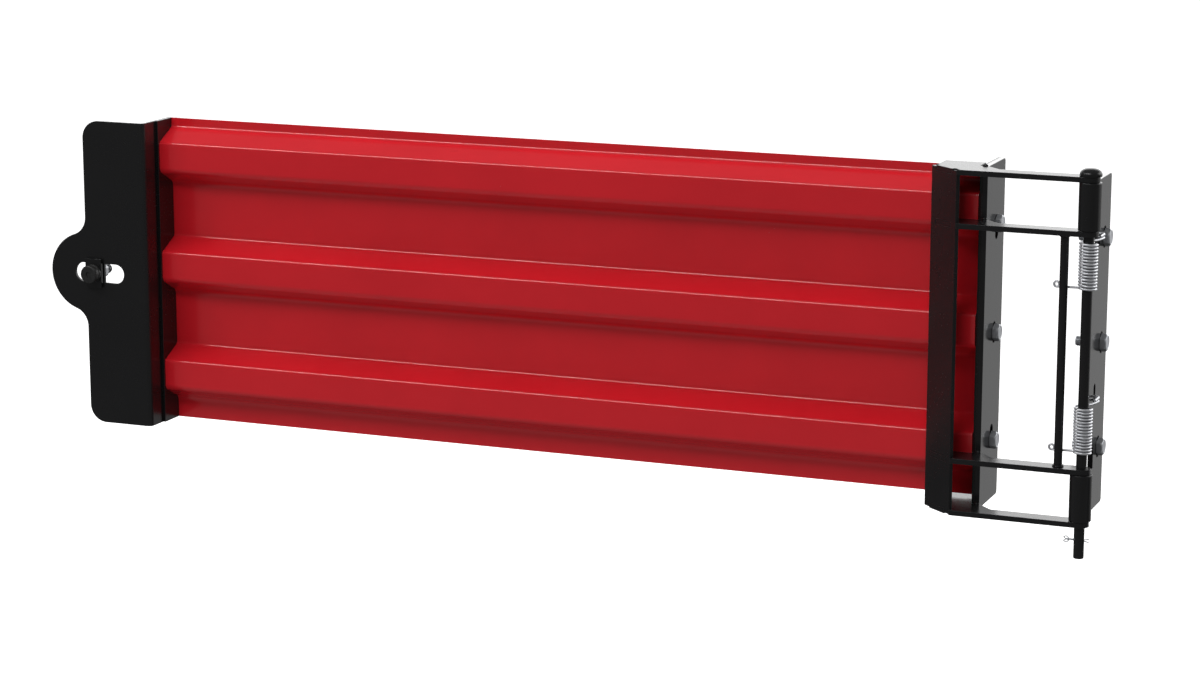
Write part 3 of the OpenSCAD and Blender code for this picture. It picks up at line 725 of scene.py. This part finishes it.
class GATE_OT_welds(bpy.types.Operator):
    """Lay the weld beads: sleeves to plate, arms to joint plate and rod to arms"""
    bl_idname = "gate.welds"
    bl_label = "Weld Beads"

    def execute(self, context):
        rng = np.random.default_rng(SEED)
        r = context.scene.gate_sizes.weld
        paint = MATERIALS["black_paint"]
        low, high = (np.array(c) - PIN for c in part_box("mount_plate"))
        inner_gap, outer_gap = 9 * MM, 3 * MM
        fixed = []
        for sleeve, sign in (("upper_hinge_sleeve", 1), ("lower_hinge_sleeve", -1)):
            box = np.array([np.array(c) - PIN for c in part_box(sleeve)])
            inner = sorted(abs(box[:, 2]))[0] + inner_gap
            outer = high[2] - outer_gap
            for x in (low[0] - r * 0.2, high[0] + r * 0.2):
                fixed.append(bead(line((x, low[1] - r * 0.5, sign * inner),
                                       (x, low[1] - r * 0.5, sign * outer)) + PIN,
                                  r, (1, 0, 0), rng))
        made = piece("sleeve_weld_beads", fixed, paint, FIXED, 80.0)
        moving = []
        turn = np.linspace(0, 2 * math.pi, 120, endpoint=False)[:, None]
        rod_low, rod_high = (np.array(c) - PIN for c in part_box("spring_stop_rod"))
        rod_r = (rod_high[0] - rod_low[0]) / 2
        centre = (rod_low + rod_high) / 2
        for z in (rod_low[2] + r * 0.35, rod_high[2] - r * 0.35):
            ring = np.concatenate([centre[0] + rod_r * np.cos(turn), centre[1] + rod_r * np.sin(turn),
                                   np.full_like(turn, z)], 1)
            moving.append(bead(ring + PIN, r * 0.8, (0, 0, 1), rng, closed=True))
        plate_low, plate_high = (np.array(c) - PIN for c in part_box("joint_plate"))
        for arm in ("top_arm", "upper_inner_arm", "lower_inner_arm", "bottom_arm"):
            box = np.array([np.array(c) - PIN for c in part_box(arm)])
            for z in (box[0, 2] - r * 0.2, box[1, 2] + r * 0.2):
                moving.append(bead(line((plate_low[0], plate_low[1] - r * 0.2, z),
                                        (plate_high[0], plate_low[1] - r * 0.2, z)) + PIN,
                                   r, (0, 0, 1), rng))
        made = piece("frame_weld_beads", moving, paint, MOVING, 80.0)
        return {"FINISHED"}


class GATE_OT_stage(bpy.types.Operator):
    """Set the pale floor, the soft lights and the camera"""
    bl_idname = "gate.stage"
    bl_label = "Studio and Camera"

    def execute(self, context):
        self.floor(context)
        self.sky(context)
        low, high = (np.array(c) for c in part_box("corrugated_sheet"))
        middle = (low + high) / 2
        for name, place, aim, size, power, shine in LIGHTS:
            self.softbox(name, middle + place, middle + aim, size, power, shine)
        self.camera(context)
        context.scene.view_settings.view_transform = "Standard"
        return {"FINISHED"}

    def floor(self, context):
        """A wide plane below the gate that glows, pale to the eye and darker in the gate's light and
        reflections: a painted glow, dim in front, darkest just behind the gate and brighter further back."""
        z, side = CAD_BOX[0][2] - FLOOR_DROP, 40
        mesh = bpy.data.meshes.new("studio_floor")
        corners = [(-side, -side, z), (side, -side, z), (side, side, z), (-side, side, z)]
        mesh.from_pydata(corners, [], [(0, 1, 2, 3)])
        floor = bpy.data.objects.new("studio_floor", mesh)
        context.collection.objects.link(floor)
        material, nodes, where = new_material("pale_floor")
        seen = nodes.add("ShaderNodeLightPath")
        depth = nodes.add("ShaderNodeSeparateXYZ", None, {0: where}, output=1)
        # painted glow: emission that lights the gate and shows in its reflections, set by place along Y
        bounce = nodes.ramp(depth * 0.25 + 0.5, (0.1, 0.14), (0.42, 0.18), (0.58, 0.04),
                            (0.8, 0.04), (1.0, 0.42))
        dim = nodes.add("ShaderNodeEmission", None, {"Color": bounce, "Strength": 1.0})
        pale = nodes.add("ShaderNodeBsdfDiffuse", None,
                         {"Color": tuple(context.scene.gate_finish.floor) + (1.0,)})
        glow = nodes.add("ShaderNodeEmission", None, {"Color": (1, 1, 1, 1), "Strength": 0.9})
        lit = nodes.add("ShaderNodeAddShader", None, {0: pale, 1: glow})
        both = nodes.add("ShaderNodeMixShader", None, {0: seen, 1: dim, 2: lit})
        nodes.add("ShaderNodeOutputMaterial", None, {"Surface": both})
        mesh.materials.append(material)

    def sky(self, context):
        """A white room: bright behind the gate, dim in front, white to the eye."""
        world = bpy.data.worlds.new("soft_room")
        context.scene.world = world
        world.use_nodes = True
        nodes = Nodes(world.node_tree)
        seen = nodes.add("ShaderNodeLightPath")
        where = nodes.add("ShaderNodeTexCoord", output=0)
        depth = nodes.add("ShaderNodeSeparateXYZ", None, {0: where}, output=1)
        height = nodes.add("ShaderNodeSeparateXYZ", None, {0: where}, output=2)
        wall = nodes.ramp(depth, (0.25, 0.0), (0.75, 1.0))
        band = 1 - nodes.ramp(height, (0.38, 0.0), (0.62, 1.0))
        room = wall * band * 2.0 + 0.16
        strength = room * (1 - seen) + seen
        glow = nodes.add("ShaderNodeBackground", None,
                         {"Color": (1.0, 1.0, 1.0, 1.0), "Strength": strength})
        nodes.add("ShaderNodeOutputWorld", None, {"Surface": glow})

    def softbox(self, name, place, target, size, power, shine):
        """A rectangular light that faces a target, and may stay out of reflections."""
        lamp = bpy.data.lights.new(name, "AREA")
        lamp.shape, lamp.size, lamp.size_y, lamp.energy = "RECTANGLE", size[0], size[1], power
        light = bpy.data.objects.new(name, lamp)
        light.location = place
        light.visible_glossy = light.visible_camera = shine
        aim = Vector(target) - Vector(place)
        light.rotation_euler = aim.to_track_quat("-Z", "Y").to_euler()
        bpy.context.collection.objects.link(light)

    def camera(self, context):
        """A long lens, from the hinge's side and a little above."""
        data = bpy.data.cameras.new("view_camera")
        data.lens, data.sensor_width = LENS_MM, SENSOR_MM
        camera = bpy.data.objects.new("view_camera", data)
        back = Vector(CAMERA_BACK).normalized()
        right = Vector(CAMERA_RIGHT).normalized()
        up = back.cross(right)
        place = from_pin(*CAMERA_PLACE)
        camera.matrix_world = Matrix((
            (right.x, up.x, back.x, place[0]), (right.y, up.y, back.y, place[1]),
            (right.z, up.z, back.z, place[2]), (0, 0, 0, 1)))
        context.collection.objects.link(camera)
        context.scene.camera = camera


class GATE_PT_panel(bpy.types.Panel):
    """The gate's sizes, finishes and pieces"""
    bl_idname = "GATE_PT_panel"
    bl_label = "Panel Gate"
    bl_space_type = "VIEW_3D"
    bl_region_type = "UI"
    bl_category = "Gate"

    def draw(self, context):
        for group in (context.scene.gate_sizes, context.scene.gate_finish):
            for name in group.__annotations__:
                self.layout.prop(group, name)
        for operator in STEPS:
            self.layout.operator(operator.bl_idname)


STEPS = (GATE_OT_stage, GATE_OT_finishes, GATE_OT_sheet, GATE_OT_springs, GATE_OT_fasteners,
         GATE_OT_hinge, GATE_OT_stop, GATE_OT_welds)
CLASSES = (GateSizes, GateFinish) + STEPS + (GATE_PT_panel,)


def register():
    for cls in CLASSES:
        bpy.utils.register_class(cls)
    bpy.types.Scene.gate_sizes = bpy.props.PointerProperty(type=GateSizes)
    bpy.types.Scene.gate_finish = bpy.props.PointerProperty(type=GateFinish)


def unregister():
    del bpy.types.Scene.gate_finish
    del bpy.types.Scene.gate_sizes
    for cls in reversed(CLASSES):
        bpy.utils.unregister_class(cls)


def main():
    """Registers the add-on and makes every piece."""
    register()
    for operator in STEPS:
        family, name = operator.bl_idname.split(".")
        getattr(getattr(bpy.ops, family), name)()
    bpy.context.view_layer.update()


if __name__ == "__main__":
    main()
